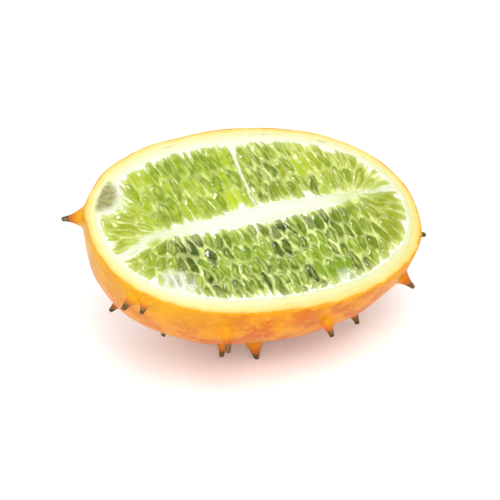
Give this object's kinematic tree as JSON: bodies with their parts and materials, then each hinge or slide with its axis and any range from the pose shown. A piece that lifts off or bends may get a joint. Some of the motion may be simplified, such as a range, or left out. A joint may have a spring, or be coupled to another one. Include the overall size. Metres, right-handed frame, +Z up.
{
  "type": "horned melon half",
  "caption": "Half of a horned melon cut lengthwise: an orange rind with horns, a pale flesh wall and core, and green jelly pulp in sacs, lying cut face up on its horns.",
  "frame": {"origin": "on the surface that the half lies on, under the middle of its bounding box", "axes": "+Z up, +X along the fruit, away from the stalk end, and the cut face faces up, leans towards -Y and dips a little towards +X"},
  "size_m": [0.1206, 0.0854, 0.0581],
  "materials": {
    "rind": "smooth waxy orange skin with yellow mottling, horns with brown corky tips, yellow where it is cut",
    "flesh": "moist white to cream flesh, greenish where it meets the pulp",
    "pulp": "wet translucent green jelly sacs with a pale seed in each"
  },
  "bodies": {
    "root": {"rind": "rind", "flesh": "flesh", "pulp_near": "pulp", "pulp_far_left": "pulp", "pulp_far_right": "pulp"}
  },
  "joints": []
}
